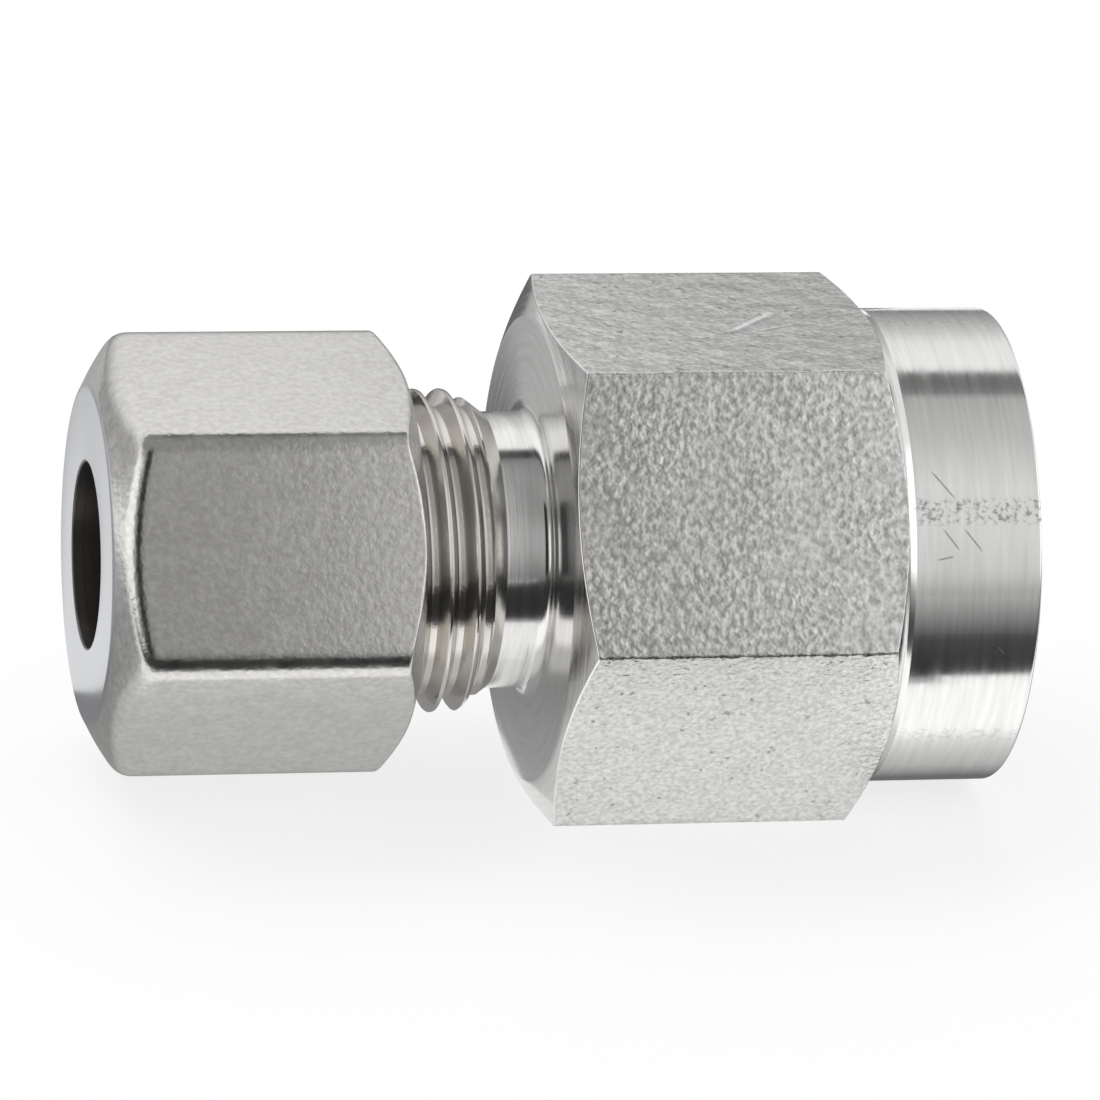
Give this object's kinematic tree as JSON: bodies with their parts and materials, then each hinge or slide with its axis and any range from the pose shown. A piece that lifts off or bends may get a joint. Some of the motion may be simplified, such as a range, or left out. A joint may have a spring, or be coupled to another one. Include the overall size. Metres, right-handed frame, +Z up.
{
  "type": "compression tube fitting",
  "caption": "Straight steel compression fitting: hexagonal body with a threaded stub, union nut, cutting ring inside, and a female port behind a round collar.",
  "frame": {"origin": "on the axis of the bores, at the step inside the body that the tube's end stops against", "axes": "+X along the axis from the tube end to the port's mouth, +Z up with the fitting lying on one flat of the body's hexagon, +Y completes the right-handed frame"},
  "size_m": [0.0509, 0.0312, 0.027],
  "materials": {
    "body_steel": "turned bright on the collar, neck and faces, drawn and slightly pitted on the flats",
    "nut_steel": "satin, tumbled",
    "ring_steel": "turned"
  },
  "bodies": {
    "body": {"fitting_body": "body_steel"},
    "ring": {"cutting_ring": "ring_steel"},
    "nut": {"union_nut": "nut_steel"}
  },
  "joints": [
    {"name": "ring_slide", "type": "slide", "parent": "body", "child": "ring", "axis": [-1, 0, 0], "range_m": [0, 0.00376]},
    {"name": "nut_turn", "type": "hinge", "parent": "ring", "child": "nut", "pos_m": [-0.0116, 0, 0], "axis": [-1, 0, 0], "range_deg": [0, 900]}
  ],
  "couplings": [
    {"joint": "ring_slide", "follows": "nut_turn", "m_per_rad": 0.00023873}
  ]
}
